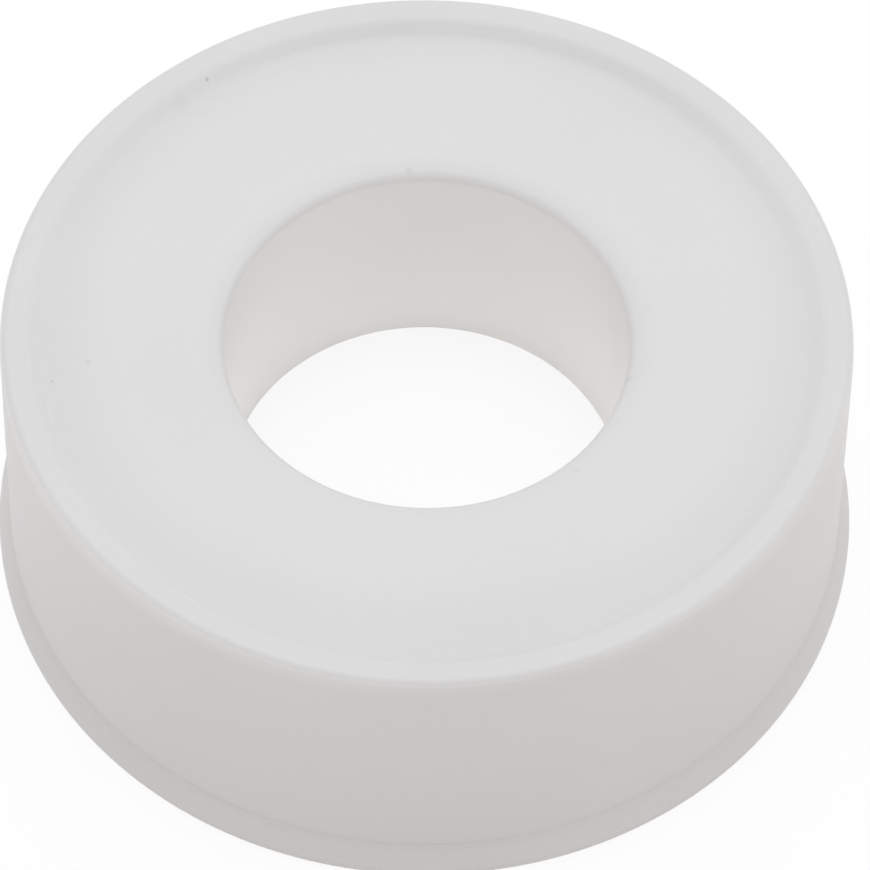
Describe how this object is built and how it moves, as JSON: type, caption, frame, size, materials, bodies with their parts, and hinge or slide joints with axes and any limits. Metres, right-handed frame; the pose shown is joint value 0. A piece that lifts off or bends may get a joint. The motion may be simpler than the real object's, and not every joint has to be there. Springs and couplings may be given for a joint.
{
  "type": "thread seal tape roll",
  "caption": "White roll of thread seal tape: a flanged spool with tape wound on its hub, and a push-on cover with a raised rim around an open bore.",
  "frame": {"origin": "on the roll's axis, in the plane that its foot stands on", "axes": "+Z along the roll's axis, from the foot flange to the raised rim"},
  "size_m": [0.0522, 0.0522, 0.0194],
  "materials": {
    "spool_plastic": "satin moulded white plastic",
    "cover_plastic": "satin moulded white plastic",
    "tape_film": "silky white film"
  },
  "bodies": {
    "spool": {"spool": "spool_plastic"},
    "cover": {"cover": "cover_plastic"},
    "tape": {"wound_tape": "tape_film", "outer_turn": "tape_film"}
  },
  "joints": [
    {"name": "cover_pull", "type": "slide", "parent": "spool", "child": "cover", "axis": [0, 0, 1], "range_m": [0, 0.024]},
    {"name": "tape_unwind", "type": "hinge", "parent": "spool", "child": "tape", "pos_m": [0, 0, 0.0107], "axis": [0, 0, 1], "continuous": true}
  ]
}
